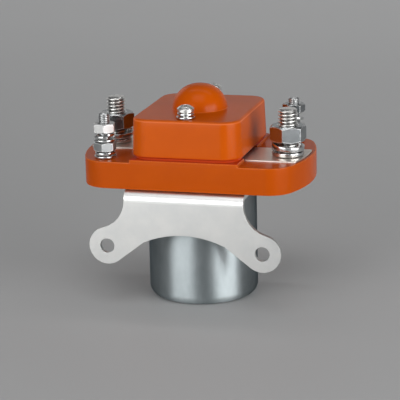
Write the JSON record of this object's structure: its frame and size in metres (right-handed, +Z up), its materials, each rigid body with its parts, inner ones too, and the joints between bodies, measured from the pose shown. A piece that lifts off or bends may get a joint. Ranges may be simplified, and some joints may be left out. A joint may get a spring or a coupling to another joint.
{
  "type": "high voltage dc contactor",
  "caption": "Solenoid dc contactor: steel can under an orange moulded base with a domed cover, main and coil stud terminals, and an upright mounting bracket with two ears.",
  "frame": {"origin": "centre of the can's closed bottom, on its outer face", "axes": "+Z up along the can and the plunger, +X along the long side of the base towards the right-hand main terminal, -Y towards the upright plate of the mounting bracket"},
  "size_m": [0.0936, 0.0561, 0.0873],
  "materials": {
    "moulding_orange": "satin moulded thermoset, orange",
    "zinc_plate": "white zinc plated sheet, satin",
    "blue_zinc": "blue zinc plated drawn steel, satin",
    "bright_zinc": "bright zinc plated, smooth",
    "tinned_copper": "tinned copper, smooth",
    "copper": "bare copper, smooth",
    "contact_silver": "silver alloy, polished",
    "soft_iron": "turned soft iron",
    "brass": "turned brass",
    "spring_steel": "drawn spring wire",
    "stainless": "turned stainless steel",
    "white_nylon": "moulded nylon, natural",
    "black_insulation": "insulated wire, black",
    "enamelled_wire": "enamelled copper wire"
  },
  "bodies": {
    "housing": {"base_moulding": "moulding_orange", "can": "blue_zinc", "coil_base_spring_washer_left": "bright_zinc", "coil_base_spring_washer_right": "bright_zinc", "coil_base_washer_left": "bright_zinc", "coil_base_washer_right": "bright_zinc", "coil_bobbin": "white_nylon", "coil_flat_washer_left": "bright_zinc", "coil_flat_washer_right": "bright_zinc", "coil_lead_left": "black_insulation", "coil_lead_right": "black_insulation", "coil_lower_nut_left": "bright_zinc", "coil_lower_nut_right": "bright_zinc", "coil_spring_washer_left": "bright_zinc", "coil_spring_washer_right": "bright_zinc", "coil_stud_left": "bright_zinc", "coil_stud_right": "bright_zinc", "coil_upper_nut_left": "bright_zinc", "coil_upper_nut_right": "bright_zinc", "coil_winding": "enamelled_wire", "cover": "moulding_orange", "cover_flat_washer_front": "bright_zinc", "cover_flat_washer_rear": "bright_zinc", "cover_screw_front": "bright_zinc", "cover_screw_rear": "bright_zinc", "cover_spring_washer_front": "bright_zinc", "cover_spring_washer_rear": "bright_zinc", "fixed_core": "soft_iron", "fixed_tip_left": "contact_silver", "fixed_tip_right": "contact_silver", "guide_sleeve": "brass", "main_flat_washer_left": "bright_zinc", "main_flat_washer_right": "bright_zinc", "main_nut_left": "bright_zinc", "main_nut_right": "bright_zinc", "main_spring_washer_left": "bright_zinc", "main_spring_washer_right": "bright_zinc", "main_stud_left": "bright_zinc", "main_stud_right": "bright_zinc", "mounting_bracket": "zinc_plate", "plunger_shim": "brass", "return_spring": "spring_steel", "rod_bush": "white_nylon", "terminal_bar_left": "tinned_copper", "terminal_bar_right": "tinned_copper", "yoke_plate": "soft_iron"},
    "plunger_assembly": {"plunger": "soft_iron", "push_rod": "stainless", "spring_retainer": "brass", "contact_spring": "spring_steel"},
    "bridge_assembly": {"contact_bridge": "copper", "moving_tip_left": "contact_silver", "moving_tip_right": "contact_silver"}
  },
  "joints": [
    {"name": "plunger_slide", "type": "slide", "parent": "housing", "child": "plunger_assembly", "axis": [0, 0, -1], "range_m": [0, 0.0029], "stiffness_N_per_m": 300, "springref_m": -0.01, "deforming": ["return_spring"]},
    {"name": "bridge_slide", "type": "slide", "parent": "plunger_assembly", "child": "bridge_assembly", "axis": [0, 0, 1], "range_m": [0, 0.001], "deforming": ["contact_spring"]}
  ],
  "couplings": [
    {"joint": "bridge_slide", "follows": "plunger_slide", "ratio": 0.3448}
  ]
}
